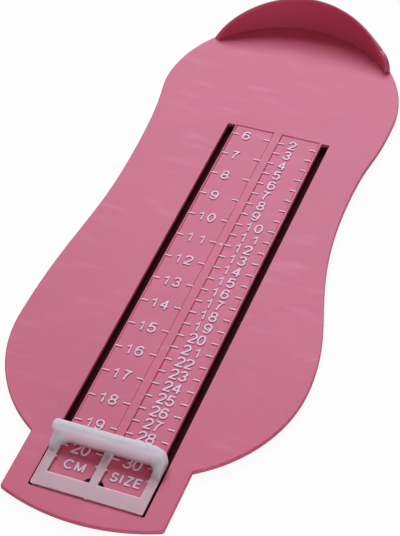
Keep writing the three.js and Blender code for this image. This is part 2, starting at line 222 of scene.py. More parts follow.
# Both panels and the hole are one opening in the plate's top, with softly sloping sides
opening = np.concatenate([
    [(-PANEL_OUT, SLOT_HEEL), (-PANEL_OUT, PANEL_TOE), (-RIB, PANEL_TOE)],
    lower_rib,
    [(RIB, PANEL_TOE), (PANEL_OUT, PANEL_TOE), (PANEL_OUT, SLOT_HEEL), (RIB, SLOT_HEEL)],
    upper_rib,
    [(-RIB, SLOT_HEEL)],
])
floors = [
    np.concatenate([[(-RIB, SLOT_HEEL), (-PANEL_OUT, SLOT_HEEL), (-PANEL_OUT, PANEL_TOE),
                     (-RIB, PANEL_TOE)], left_bow[::-1]]),
    np.concatenate([[(RIB, PANEL_TOE), (PANEL_OUT, PANEL_TOE), (PANEL_OUT, SLOT_HEEL),
                     (RIB, SLOT_HEEL)], right_bow[::-1]]),
]
rim = rounding(0, -PLATE, EDGE, 0.25, 5)
soft = rounding(0, -PLATE, FINE, FINE, 3)
t = np.linspace(0, 1, 7)
step = np.stack([SLOPE * (1 - t), -PANEL_DEPTH * (3 * t ** 2 - 2 * t ** 3)], 1)
plate = [grid(lifted([outline(back) for back, _ in rim], rim[:, 1]))]
for slot in slots:
    plate.append(grid(lifted([grown(slot, back) for back, _ in soft], soft[:, 1])))
plate.append(grid(lifted([grown(opening, back) for back, _ in step], step[:, 1])))
plate.append(grid(lifted([hole, hole], [-PANEL_DEPTH, -PLATE])))
plate.append(flat(outline(EDGE), [grown(s, FINE) for s in slots] + [grown(opening, SLOPE)], 0))
plate += [flat(floor, [], -PANEL_DEPTH) for floor in floors]
plate.append(flat(outline(0.25), [grown(s, FINE) for s in slots] + [hole], -PLATE))


# The heel cup, moulded on the plate's heel edge: a wall that thins to a sharp rim, highest in the
# middle and dying away at both ends, with a rounder shoulder kept on the right.
CUP_HEIGHT, CUP_HALF, CUP_X, CUP_POWER = 12.9, 31.1, -6.3, 1.85
CUP_IN, CUP_OUT, CUP_DRAFT, CUP_RIM = HEEL_R - 2.3, HEEL_R - 0.1, 0.045, 0.25
CUP_FALL, CUP_LEAST, CUP_ROOT, CUP_SUNK = 3.6, 0.45, 0.6, 0.2
CUP_SHOULDER, SHOULDER_FROM, SHOULDER_POWER = 5.4, 0.88, 2.6
CUP_NOSE, CUP_NOSE_RIGHT = (0.55, 1.2), (1.0, 2.2)


def heel_cup(stations=160):
    """Sections round the heel. The rim's height over the plate is a half superellipse of power
    1.85, and the right end's shoulder is level until it falls as a superellipse of power 2.6. A
    section goes up the drafted inside, over a round rim and down a quarter ellipse."""
    along = np.sin(np.pi * (np.linspace(0, 1, stations + 1) - 0.5))[:, None]
    angle = np.arcsin((CUP_X + CUP_HALF * along - HEEL[0])
                      / (CUP_IN + CUP_DRAFT * CUP_HEIGHT + CUP_RIM))
    rise = (1 - np.abs(along) ** CUP_POWER) ** (1 / CUP_POWER)
    late = np.clip((along - SHOULDER_FROM) / (1 - SHOULDER_FROM), 0, 1)
    kept = (1 - late ** SHOULDER_POWER) ** (1 / SHOULDER_POWER)
    kept = np.where(along > 0, (CUP_SHOULDER + CUP_SUNK) * kept - CUP_SUNK, -CUP_ROOT)
    top = np.maximum((CUP_HEIGHT + CUP_SUNK) * rise - CUP_SUNK, kept)
    inner = CUP_IN + CUP_DRAFT * top
    shoulder = np.minimum(np.maximum(top - CUP_FALL, kept), top - CUP_LEAST)
    fall = top - shoulder
    up = np.linspace(0, 1, 9)[None]
    over = np.linspace(math.pi, math.pi / 2, 13)[None, 1:]
    down = np.linspace(0, math.pi / 2, 13)[None, 1:]
    at_right = np.clip((along - 0.72) / 0.22, 0, 1)
    at_right = at_right ** 2 * (3 - 2 * at_right)
    nose = CUP_NOSE[0] + (CUP_NOSE_RIGHT[0] - CUP_NOSE[0]) * at_right
    nose_fall = CUP_NOSE[1] + (CUP_NOSE_RIGHT[1] - CUP_NOSE[1]) * at_right
    nose_fall = np.minimum(nose_fall, (top + CUP_ROOT) * 0.9)
    r = np.concatenate([
        inner + (CUP_IN - inner) * (1 - up),
        inner + nose + nose * np.cos(over),
        inner + nose + (CUP_OUT - inner - nose) * np.sin(down),
        np.full_like(top, CUP_OUT),
    ], 1)
    z = np.concatenate([
        -CUP_ROOT + (top - nose_fall + CUP_ROOT) * up,
        top - nose_fall + nose_fall * np.sin(over),
        np.maximum(shoulder + fall * np.cos(down), -CUP_ROOT / 2),
        np.full_like(top, -CUP_ROOT),
    ], 1)
    points = np.stack([HEEL[0] + r * np.sin(angle), HEEL[1] + r * np.cos(angle), z], -1)
    co, quads, _ = grid(points)
    cols = points.shape[1]
    ends = [list(range(cols)), list(range(stations * cols, (stations + 1) * cols))]
    return [(co, quads, True), (co, ends, False)]


# The ribs it stands on, under the plate: one round the edge, a rail beside each slot, a spine, a
# rib past each end of the slots and two braces on each side, each with a rounded foot.
STAND, RIB_WIDE, RIB_IN, SUNK = -3.0, 1.4, 3.0, 0.2
RAIL = (SLOT_OUT + 0.9, SLOT_OUT + 0.9 + RIB_WIDE)
foot = rounding(-PLATE + SUNK, STAND, 0, 0.3, 3)[3:]
loops = [outline(RIB_IN + back) for back, _ in foot]
loops += [outline(RIB_IN + RIB_WIDE - back) for back, _ in foot[::-1]]
ribs = [grid(lifted(loops + loops[:1], list(foot[:, 1]) + list(foot[::-1, 1]) + [foot[0, 1]]))]


def bar(x0, x1, y0, y1):
    """A rib between two corners, from inside the plate down to a rounded foot."""
    loop = box_loop(x0, x1, y0, y1, 0.45, 3)
    return [grid(lifted([grown(loop, -back) for back, _ in foot], foot[:, 1])),
            flat(loop, [], foot[0, 1]), flat(grown(loop, -0.3), [], STAND)]


heel_rib, toe_rib = SLOT_HEEL + 1.6, SLOT_TOE - 1.6
for hand in (-1, 1):
    rail = sorted((TRACK + hand * RAIL[0], TRACK + hand * RAIL[1]))
    ribs += bar(*rail, toe_rib - RIB_WIDE / 2, heel_rib + RIB_WIDE / 2)
ribs += bar(TRACK - RAIL[1], TRACK + RAIL[1], heel_rib, heel_rib + RIB_WIDE)
ribs += bar(TRACK - RAIL[1], TRACK + RAIL[1], toe_rib - RIB_WIDE, toe_rib)
ribs += bar(-RIB_WIDE / 2, RIB_WIDE / 2, HOLE_Y + HOLE_R + 1.2, heel_rib)
edge_line = outline(RIB_IN + RIB_WIDE / 2)
for y in (-95.0, -150.0):
    near = edge_line[np.abs(edge_line[:, 1] - y - RIB_WIDE / 2) < 2]
    ribs += bar(RAIL[0] + 0.5, near[:, 0].max() - 0.4, y, y + RIB_WIDE)
    ribs += bar(near[:, 0].min() + 0.4, -RAIL[0] - 0.5, y, y + RIB_WIDE)

base = made("base_plate_moulding", plate + heel_cup() + ribs, "plate")
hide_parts("base_plate")


# The pink plastic's finish: a fine matt grain, slight cloudiness in the colour, faint rub marks
# that shine a little more, paler rounded edges that are partly wear and partly a painted edge
# highlight, and light passing a short way into it.
def node(tree, kind, inputs=None, **settings):
    """A shader node with its settings, and its inputs set or linked."""
    made_node = tree.nodes.new(kind)
    for key, value in settings.items():
        setattr(made_node, key, value)
    for key, value in (inputs or {}).items():
        if isinstance(value, bpy.types.NodeSocket):
            tree.links.new(value, made_node.inputs[key])
        else:
            made_node.inputs[key].default_value = value
    return made_node


def material(name):
    """An empty material, with its tree, its surface shader and the piece's own coordinates."""
    mat = bpy.data.materials.new(name)
    mat.use_nodes = True
    tree = mat.node_tree
    tree.nodes.clear()
    shader = node(tree, "ShaderNodeBsdfPrincipled")
    node(tree, "ShaderNodeOutputMaterial", {"Surface": shader.outputs[0]})
    return mat, tree, shader, node(tree, "ShaderNodeTexCoord").outputs["Object"]


def noise(tree, place, scale, detail=3.0, stretch=(1, 1, 1)):
    """Noise of that many blots to the metre, stretched along an axis where asked."""
    turned = node(tree, "ShaderNodeMapping", {"Vector": place, "Scale": stretch})
    return node(tree, "ShaderNodeTexNoise", {"Vector": turned.outputs[0], "Scale": scale,
                                             "Detail": detail}).outputs["Fac"]


def spread(tree, value, low, high, to_low=0.0, to_high=1.0):
    """The value from low to high, spread to another range and held there."""
    return node(tree, "ShaderNodeMapRange", {"Value": value, "From Min": low, "From Max": high,
                                             "To Min": to_low, "To Max": to_high}).outputs[0]


def blend_colour(tree, factor, a, b):
    """Colour a where the factor is 0, colour b where it is 1."""
    mix = node(tree, "ShaderNodeMix", data_type="RGBA")
    for key, value in ((0, factor), (6, a), (7, b)):
        if isinstance(value, bpy.types.NodeSocket):
            tree.links.new(value, mix.inputs[key])
        else:
            mix.inputs[key].default_value = value
    return mix.outputs[2]


def pink_finish(name):
    """The pink plastic. Returns the material with its tree, shader, place and colour."""
    mat, tree, shader, place = material(name)
    cloud = spread(tree, noise(tree, place, 38.0), 0.35, 0.65)
    colour = blend_colour(tree, cloud, (0.695, 0.078, 0.143, 1), (0.725, 0.086, 0.156, 1))
    rim = node(tree, "ShaderNodeAttribute", attribute_name="rim").outputs["Fac"]
    patchy = spread(tree, noise(tree, place, 260.0, 4.0), 0.3, 0.7, 0.15, 0.6)
    # Paler rounded edges: partly wear, partly a painted edge highlight.
    worn = node(tree, "ShaderNodeMath", {0: rim, 1: patchy}, operation="MULTIPLY").outputs[0]
    colour = blend_colour(tree, worn, colour, (0.78, 0.24, 0.32, 1))
    grain = noise(tree, place, 2600.0, 2.0)
    waves = noise(tree, place, 55.0, 2.0)
    rub = spread(tree, noise(tree, place, 60.0, 6.0, (1, 5, 1)), 0.55, 0.8, 0.0, 0.07)
    rough = spread(tree, grain, 0.3, 0.7, 0.46, 0.54)
    rough = node(tree, "ShaderNodeMath", {0: rough, 1: rub}, operation="SUBTRACT").outputs[0]
    tree.links.new(colour, shader.inputs["Base Color"])
    tree.links.new(rough, shader.inputs["Roughness"])
    fine = node(tree, "ShaderNodeBump", {"Height": grain, "Strength": 0.12, "Distance": 0.00003})
    broad = node(tree, "ShaderNodeBump", {"Height": waves, "Strength": 0.25, "Distance": 0.0001,
                                          "Normal": fine.outputs[0]})
    tree.links.new(broad.outputs[0], shader.inputs["Normal"])
    shader.inputs["IOR"].default_value = 1.55
    shader.inputs["Specular IOR Level"].default_value = 0.61
    shader.inputs["Specular Tint"].default_value = (0.9, 0.84, 1.0, 1)
    shader.inputs["Subsurface Weight"].default_value = 0.25
    shader.inputs["Subsurface Radius"].default_value = (1.0, 0.2, 0.3)
    shader.inputs["Subsurface Scale"].default_value = 0.0012
    return mat, tree, shader, place, colour


pink = pink_finish("pink_plastic_finish")[0]
base.data.materials.append(pink)


# The marks of the scale: ticks and plain numerals raised from the panels in the same pink
# moulding, with a thin white ink rolled over their tops.
MARK_TOP, MARK_FOOT = -0.05, -PANEL_DEPTH - 0.1
STROKE, TICK = 0.285, 1.95


def tick(x0, x1, y):
    """A raised bar across the panel's edge, with rounded upper edges and a foot in the panel."""
    loop = box_loop(x0, x1, y - 0.25, y + 0.25, 0.1, 2)
    steps = rounding(MARK_TOP, MARK_FOOT, 0.1, 0, 2)[:4]
    return [grid(lifted([grown(loop, -back) for back, _ in steps], steps[:, 1])),
            flat(grown(loop, -0.1), [], MARK_TOP), flat(loop, [], MARK_FOOT)]


def bow(x, y, rx, ry, a0, a1, steps=14):
    """Points of an upright ellipse from angle a0 to a1, in degrees."""
    a = np.radians(np.linspace(a0, a1, steps + 1))
    return np.stack([x + rx * np.cos(a), y + ry * np.sin(a)], 1)


def glyph_paths(sign):
    """The middle lines of a sign's strokes, 4 mm high and starting at X = 0, less half a stroke."""
    w, h = 2.1, 3.5
    m = w / 2
    paths = {
        "0": [bow(m, h / 2, m, h / 2, 0, 180), bow(m, h / 2, m, h / 2, 180, 360)],
        "1": [[(0, 2.55), (0.62, 2.8), (1.0, 3.5), (1.0, 0)]],
        "2": [np.concatenate([bow(m, 2.5, m, 1.0, 175, -30, 12), [(0.0, 0.0)]]),
              [(0, 0), (w, 0)]],
        "3": [bow(m, 2.62, 0.95, 0.88, 165, -90, 14), bow(m, 0.88, m, 0.88, 90, -165, 14)],
        "4": [[(1.6, 0), (1.6, 3.5)], [(1.6, 3.5), (0, 1.1)], [(0, 1.1), (2.25, 1.1)]],
        "5": [[(1.95, 3.5), (0.35, 3.5), (0.1, 1.75)], bow(1.0, 1.12, 1.08, 1.12, 140, -155, 18)],
        "6": [bow(m, 1.1, m, 1.1, 0, 180), bow(m, 1.1, m, 1.1, 180, 360),
              np.concatenate([bow(m + 0.05, 2.1, 1.05, 1.4, 35, 180, 14), [(0, 1.1)]])],
        "7": [[(0, 3.5), (w, 3.5)], bow(3.0, 0.0, 2.35, 4.2, 122, 180, 12)],
        "8": [bow(m, 2.65, 0.9, 0.85, 0, 180, 12), bow(m, 2.65, 0.9, 0.85, 180, 360, 12),
              bow(m, 0.9, m, 0.9, 0, 180, 12), bow(m, 0.9, m, 0.9, 180, 360, 12)],
        "C": [bow(1.6, h / 2, 1.6, h / 2, 45, 315, 24)],
        "M": [[(0, 0), (0, h)], [(0, h), (1.45, 0.1)], [(1.45, 0.1), (2.9, h)],
              [(2.9, h), (2.9, 0)]],
        "S": [bow(m, 2.62, 0.95, 0.88, 20, 250, 14), bow(m, 0.88, 1.0, 0.88, 70, -160, 14)],
        "I": [[(0, 0), (0, h)]],
        "Z": [[(0, h), (w, h)], [(w, h), (0, 0)], [(0, 0), (w, 0)]],
        "E": [[(0, 0), (0, h)], [(0, h), (1.9, h)], [(0, h / 2), (1.75, h / 2)],
              [(0, 0), (1.9, 0)]],
    }
    if sign == "9":
        return [np.array([w, h]) - path for path in glyph_paths("6")]
    return [np.array(path, float) for path in paths[sign]]


def stroke_outline(path, half, over=0.12):
    """The outline of a stroke: its middle line moved half a width to each side, along the mean of
    the neighbouring normals, and its ends carried on a little."""
    path = path.copy()
    path[0] += over * (path[0] - path[1]) / np.linalg.norm(path[0] - path[1])
    path[-1] += over * (path[-1] - path[-2]) / np.linalg.norm(path[-1] - path[-2])
    side = np.diff(path, axis=0)
    normal = np.stack([side[:, 1], -side[:, 0]], 1) / np.linalg.norm(side, axis=1)[:, None]
    first = np.concatenate([normal[:1], normal])
    last = np.concatenate([normal, normal[-1:]])
    shift = (first + last) / np.maximum(1 + (first * last).sum(1), 0.5)[:, None]
    return np.concatenate([path + half * shift, (path - half * shift)[::-1]])


def relief(sign, tall=4.0):
    """A raised sign: its strokes' outlines made one shape, a flat top, and sides that widen down.
    A side's corner moves by twice the sum of its two normals over that sum's length squared."""
    size = tall / 4.0
    loops = [stroke_outline(path, STROKE / size) for path in glyph_paths(sign)]
    points = np.concatenate(loops)
    ends = np.cumsum([0] + [len(loop) for loop in loops])
    faces = [list(range(a, b)) for a, b in zip(ends, ends[1:])]
    co, _, triangles, _, _, inside = delaunay_2d_cdt(
        [Vector(p) for p in points], [], faces, 1, 1e-5)
    co = np.array([tuple(v) for v in co]) * size
    tri = np.array([t for t, held in zip(triangles, inside) if len(held)])
    sides = np.concatenate([tri[:, [0, 1]], tri[:, [1, 2]], tri[:, [2, 0]]])
    keys = sides[:, 0] * len(co) + sides[:, 1]
    outer = sides[~np.isin(keys, sides[:, 1] * len(co) + sides[:, 0])]
    run = co[outer[:, 1]] - co[outer[:, 0]]
    normal = np.stack([run[:, 1], -run[:, 0]], 1) / np.linalg.norm(run, axis=1)[:, None]
    total = np.zeros_like(co)
    np.add.at(total, outer[:, 0], normal)
    np.add.at(total, outer[:, 1], normal)
    length = np.maximum((total ** 2).sum(1), 1.0)[:, None]
    shift = 2 * total / length
    layers = [(-0.06, MARK_TOP), (-0.02, MARK_TOP - 0.03), (0.02, MARK_TOP - 0.1),
              (0.07, MARK_FOOT)]
    flats = [np.column_stack([co + shift * out, np.full(len(co), z)]) for out, z in layers]
    count = len(co)
    walls = []
    for k in range(len(layers) - 1):
        a, b = outer[:, 0] + k * count, outer[:, 1] + k * count
        walls.append(np.stack([b, a, a + count, b + count], 1))
    every = np.concatenate(flats)
    return [(every, np.concatenate(walls).tolist(), True), (every, tri.tolist(), False),
            (every, (tri[:, ::-1] + count * (len(layers) - 1)).tolist(), False)]


def moved(chunks, x, y):
    return [(co + np.array([x, y, 0]), faces, soft) for co, faces, soft in chunks]


signs = {sign: relief(sign) for sign in "0123456789"}
lower = {sign: relief(sign, 3.25) for sign in "CMSIZE"}


def written(chunks, x, y, hand):
    """A sign set at x, by its left side (hand 1) or by its right side (hand -1), middle at y."""
    co = chunks[0][0]
    low, high = co[:, :2].min(0), co[:, :2].max(0)
    return moved(chunks, x - (low[0] if hand > 0 else high[0]), y - (low[1] + high[1]) / 2)


def number(value, left, right, y):
    """A number's first numeral against the left line, and its second against the right line."""
    text = str(value)
    chunks = written(signs[text[0]], left, y, 1)
    return chunks + (written(signs[text[1]], right, y, -1) if len(text) > 1 else [])


marks = {"centimetre": [], "size": []}
for cm in range(6, 21):
    y = -10.0 * cm
    marks["centimetre"] += tick(-PANEL_OUT - SLOPE, -PANEL_OUT + TICK, y)
    marks["centimetre"] += tick(-RIB - TICK, -RIB + SLOPE, y)
    marks["centimetre"] += number(cm, -11.15, -5.45, y)
for size in range(2, 31):
    y = -50.0 - 5.0 * size
    marks["size"] += tick(RIB - SLOPE, RIB + TICK, y)
    marks["size"] += tick(PANEL_OUT - TICK, PANEL_OUT + SLOPE, y)
    marks["size"] += number(size, 4.95, 10.65, y)
LABEL_Y = -206.05
marks["centimetre"] += written(lower["C"], -11.0, LABEL_Y, 1)
marks["centimetre"] += written(lower["M"], -4.35, LABEL_Y, -1)
for sign, x in zip("SIZE", (3.6, 6.5, 7.85, 10.75)):
    marks["size"] += written(lower[sign], x, LABEL_Y, 1)


# White ink on the tops: it stops where the sides fall away, thins at the rims and is a little worn.
def inked_finish():
    """Pink plastic with white ink above a height, its edge made uneven by fine noise."""
    mat, tree, shader, place, colour = pink_finish("inked_marks_finish")
    height = node(tree, "ShaderNodeSeparateXYZ", {"Vector": place}).outputs["Z"]
    uneven = spread(tree, noise(tree, place, 3500.0, 2.0), 0.3, 0.7, -0.00004, 0.00004)
    level = node(tree, "ShaderNodeMath", {0: height, 1: uneven}, operation="ADD").outputs[0]
    ink_foot = (TO_PART[2] + MARK_TOP - 0.14) / 1000
    ink = spread(tree, level, ink_foot, ink_foot + 0.00008)
    worn = spread(tree, noise(tree, place, 420.0, 4.0), 0.25, 0.42, 0.72, 1.0)
    ink = node(tree, "ShaderNodeMath", {0: ink, 1: worn}, operation="MULTIPLY").outputs[0]
    colour = blend_colour(tree, ink, colour, (0.98, 0.70, 0.78, 1))
    tree.links.new(colour, shader.inputs["Base Color"])
    return mat


inked = inked_finish()
for name, chunks in marks.items():
    piece = made(f"{name}_marks", chunks, "plate")
    piece.data.materials.append(inked)

# The moulding's gate: a small round stub on the middle rib, level with the 11 cm mark.
turn = np.linspace(0, 2 * math.pi, 20, endpoint=False)
rise = np.array([(0.62, -0.15), (0.6, 0.0), (0.5, 0.03), (0.32, 0.05), (0.12, 0.06)])
stub = np.stack([0.3 + rise[:, :1] * np.cos(turn), -110.2 + 0.75 * rise[:, :1] * np.sin(turn),
                 np.broadcast_to(rise[:, 1:], (len(rise), 20))], -1)
co, quads, _ = grid(stub)
gate = made("gate_stub", [(co, quads, True), (co, [list(range(20)), list(range(80, 100))], True)],
            "plate")
gate.data.materials.append(inked)


# The toe slider, one moulding in a milky white plastic: a flat frame with two windows and four
# small pointers that lies over the strip.
SIDE, TOE, STOP_HEEL, STOP_TOE = 17.3, -216.0, -197.0, -199.1
LOW, HIGH, BAR, DIVIDER, TOE_BAR = 0.1, 0.7, 3.0, 1.4, 5.4
POINTER_Y, POINTER, POINTER_HALF = -204.8, 0.6, 0.35

panes = [box_loop(a, b, TOE + TOE_BAR, STOP_TOE + 0.6, 0.2)
         for a, b in ((-SIDE + BAR, -DIVIDER), (DIVIDER, SIDE - BAR))]
# The windows' upper edges are well rounded, and wider than they are deep
pane_edge = rounding(HIGH, LOW, 0.48, 0.06, 6, 1.4)
slider_parts = [slab(box_loop(-SIDE, SIDE, TOE, STOP_HEEL - 0.3, 0.35), panes, LOW, HIGH, 0.16,
                     pane_edge)]
for x, into in ((-SIDE + BAR, 1), (-DIVIDER, -1), (DIVIDER, 1), (SIDE - BAR, -1)):
    tip = np.array([(x - 0.8 * into, POINTER_Y + POINTER_HALF + 0.15),
                    (x - 0.8 * into, POINTER_Y - POINTER_HALF - 0.15),
                    (x + 0.05 * into, POINTER_Y - POINTER_HALF), (x + POINTER * into, POINTER_Y),
                    (x + 0.05 * into, POINTER_Y + POINTER_HALF)])
    slider_parts.append(slab(tip[::into], [], LOW + 0.03, HIGH - 0.06, 0.08))


# The upright toe stop across its heel end: a wall with a soft lip that reaches back, square at the
# left end and well rounded at the right, where the lip follows the corner down.
STOP_HIGH, LIP_HIGH, LIP_HEEL, OVERHANG = 6.8, 2.4, -196.1, 0.35
LEFT_R, RIGHT_R, LIP_R = 1.1, 4.5, 1.05


def toe_stop():
    """Sections across the stop, from its left end to its right. The top follows a small quarter
    circle on the left and a large one on the right; a section rises up the toe face, over a round
    edge, back along the top, over a round edge, and down under the lip to the foot."""
    a = np.linspace(0, math.pi / 2, 13)
    left, right = -SIDE - OVERHANG, SIDE
    x = np.concatenate([left + LEFT_R * (1 - np.cos(a)), np.linspace(-15.5, 11.5, 28),
                        right - RIGHT_R * (1 - np.sin(a)), ])
    top = np.concatenate([STOP_HIGH - LEFT_R * (1 - np.sin(a)), np.full(28, STOP_HIGH),
                          STOP_HIGH - RIGHT_R * (1 - np.cos(a))])
    end = np.clip(np.maximum(left + 1 - x, x - (right - 1)), 0, 1)
    back = 1 - np.sqrt(1 - end ** 2)
    toe = STOP_TOE + 0.35 * back
    heel = LIP_HEEL - 0.9 * back
    wall = np.minimum(STOP_HEEL, heel)
    lip = top - LIP_HIGH
    foot_z = np.where(x < -SIDE, lip - (x + SIDE + OVERHANG) - 0.1, LOW + 0.02)
    q = np.linspace(0, math.pi / 2, 9)
    toe, heel, wall, lip, top, foot_z = (v[:, None] for v in (toe, heel, wall, lip, top, foot_z))
    ones = np.ones((1, 1))
    rise = np.linspace(0, 1, 6)[None]
    y = np.concatenate([
        toe * np.ones((1, 6)), toe + LIP_R * (1 - np.cos(q)), heel - LIP_R * (1 - np.sin(q)),
        heel * ones, wall * ones, wall * ones], 1)
    z = np.concatenate([
        foot_z + (top - LIP_R - foot_z) * rise, top - LIP_R * (1 - np.sin(q)),
        top - LIP_R * (1 - np.cos(q)), lip, lip - (heel - wall), foot_z], 1)
    z = np.maximum(z, foot_z)
    points = np.stack([np.broadcast_to(x[:, None], y.shape), y, z], -1)
    co, quads, _ = grid(points)
    cols, rows = points.shape[1], points.shape[0]
    ends = [list(range(cols)), list(range((rows - 1) * cols, rows * cols))]
    return [(co, quads, True), (co, ends, False)]


slider_parts.append(toe_stop())


# What stiffens and holds it: a rounded gusset on each side bar, a hollow fillet at the divider's
# root, four legs with hooks through the slots, and the gate's stub on the toe edge.
def along_x(chunks):
    """Turns a slab drawn in (Y, Z) and raised along X into place."""
    return [(co[:, [2, 0, 1]], faces, soft) for co, faces, soft in chunks]


def along_y(chunks):
    """Turns a slab drawn in (X, Z) and raised along Y into place."""
    return [(co[:, [0, 2, 1]], faces, soft) for co, faces, soft in chunks]


GUSSET_LONG, GUSSET_HIGH, GUSSET_FLARE = 4.0, 2.9, 2.4
GUSSET_OUT_R, GUSSET_IN_R, GUSSET_ROOT = 0.7, 2.1, 1.0


def gusset(hand):
    """A soft ramp from a side bar up to the stop: seen from the side a quarter ellipse that runs
    out on the bar in a hollow cubic curve. Its long edges are rounded, the inner one widely, and
    it flares inwards and upwards where it meets the stop."""
    q = np.linspace(0, math.radians(64), 17)
    t = np.linspace(0, 1, 9)[1:, None]
    ramp = np.stack([GUSSET_LONG * np.sin(q), GUSSET_HIGH * np.cos(q)], 1)
    end = ramp[-1]
    hollow = ((1 - t) ** 3 * end + 3 * t * (1 - t) ** 2 * (end + (0.45, -0.68))
              + 3 * t ** 2 * (1 - t) * np.array([4.25, 0.0]) + t ** 3 * np.array([5.0, 0.0]))
    ramp = np.concatenate([ramp, hollow])
    ramp[:, 1] += GUSSET_ROOT * np.clip(1 - ramp[:, 0] / 1.4, 0, 1) ** 2
    ramp = np.concatenate([ramp[:1] - (0.8, 0), ramp])
    y, rise = STOP_TOE - ramp[:, :1], ramp[:, 1:]
    flare = GUSSET_FLARE * np.clip(1 + (y - STOP_TOE) / GUSSET_FLARE, 0, 1) ** 2
    top = HIGH - 0.02 + rise
    r, soft = (np.minimum(most, 0.8 * (top - 0.3)) for most in (GUSSET_OUT_R, GUSSET_IN_R))
    inner, outer = SIDE - BAR + 0.1 - flare, SIDE - 0.02
    a = np.linspace(0, math.pi / 2, 8)[None]
    x = np.concatenate([inner, outer + 0 * y, outer - r + r * np.cos(a),
                        inner + soft - soft * np.sin(a)], 1)
    z = np.concatenate([0.3 + 0 * y, 0.3 + 0 * y, top - r + r * np.sin(a),
                        top - soft + soft * np.cos(a)], 1)
    co, quads, _ = grid(np.stack([hand * x, np.broadcast_to(y, x.shape), z], -1))
    rows, cols = x.shape
    return [(co, quads, True),
            (co, [list(range(cols)), list(range((rows - 1) * cols, rows * cols))], False)]


q = np.linspace(0, math.pi / 2, 13)
fillet = np.concatenate([
    [(STOP_TOE + 0.8, 0.3), (STOP_TOE + 0.8, HIGH + 0.8)],
    np.stack([STOP_TOE - 0.8 + 0.8 * np.cos(q), HIGH + 0.8 - 0.8 * np.sin(q)], 1),
    [(STOP_TOE - 0.8, 0.3)]])
slider_parts += [gusset(-1), gusset(1)]
slider_parts.append(along_x(slab(fillet, [], -DIVIDER, DIVIDER, 0.05)))
LEG_INSET, LEG_THICK, LEG_LONG, HOOK_CATCH, HOOK_LIP, HOOK_DEEP = 0.6, 1.1, 6.0, 0.4, 0.3, 0.9
LEG_OUT, CATCH = SIDE - LEG_INSET, -PLATE - 0.1
LEG_IN, LEG_TOP, TIP = LEG_OUT - LEG_THICK, 0.5, SLOT_IN - HOOK_CATCH
hook = np.array([(LEG_OUT, LEG_TOP), (LEG_IN, LEG_TOP), (LEG_IN, CATCH), (TIP, CATCH),
                 (TIP, CATCH - HOOK_LIP), (LEG_IN, CATCH - HOOK_DEEP),
                 (LEG_OUT, CATCH - HOOK_DEEP)])
for y in (TOE, STOP_HEEL - LEG_LONG):
    for loop in (hook, hook[::-1] * (-1, 1)):
        slider_parts.append(along_y(slab(loop, [], y + 0.05, y + LEG_LONG - 0.05, 0.1)))
nub = arc(0, TOE + 0.15, 0.45, -math.pi * 0.9, -math.pi * 0.1, 8)
nub = np.concatenate([nub, [(0.4, TOE + 0.5), (-0.4, TOE + 0.5)]])
slider_parts.append(slab(nub, [], LOW + 0.05, HIGH - 0.05, 0.1))


def united(name, parts, body):
    """The parts as one closed skin: each is cut and joined to what came before."""
    pieces = [made(f"{name}_{i}", part, body) for i, part in enumerate(parts)]
    whole = pieces[0]
    for other in pieces[1:]:
        join = whole.modifiers.new("join", "BOOLEAN")
        join.operation, join.solver, join.object = "UNION", "EXACT", other
    bpy.context.view_layer.update()
    finished = whole.evaluated_get(bpy.context.evaluated_depsgraph_get())
    mesh = bpy.data.meshes.new_from_object(finished)
    for other in pieces:
        bpy.data.objects.remove(other)
    mesh.attributes.remove(mesh.attributes["rim"])
    mark_rims(mesh)
    obj = bpy.data.objects.new(name, mesh)
    bpy.context.scene.collection.objects.link(obj)
    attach(obj, body)
    return obj


slider = united("toe_slider_moulding", [moved(part, TRACK, 0) for part in slider_parts],
                "slider")
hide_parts("toe_slider")


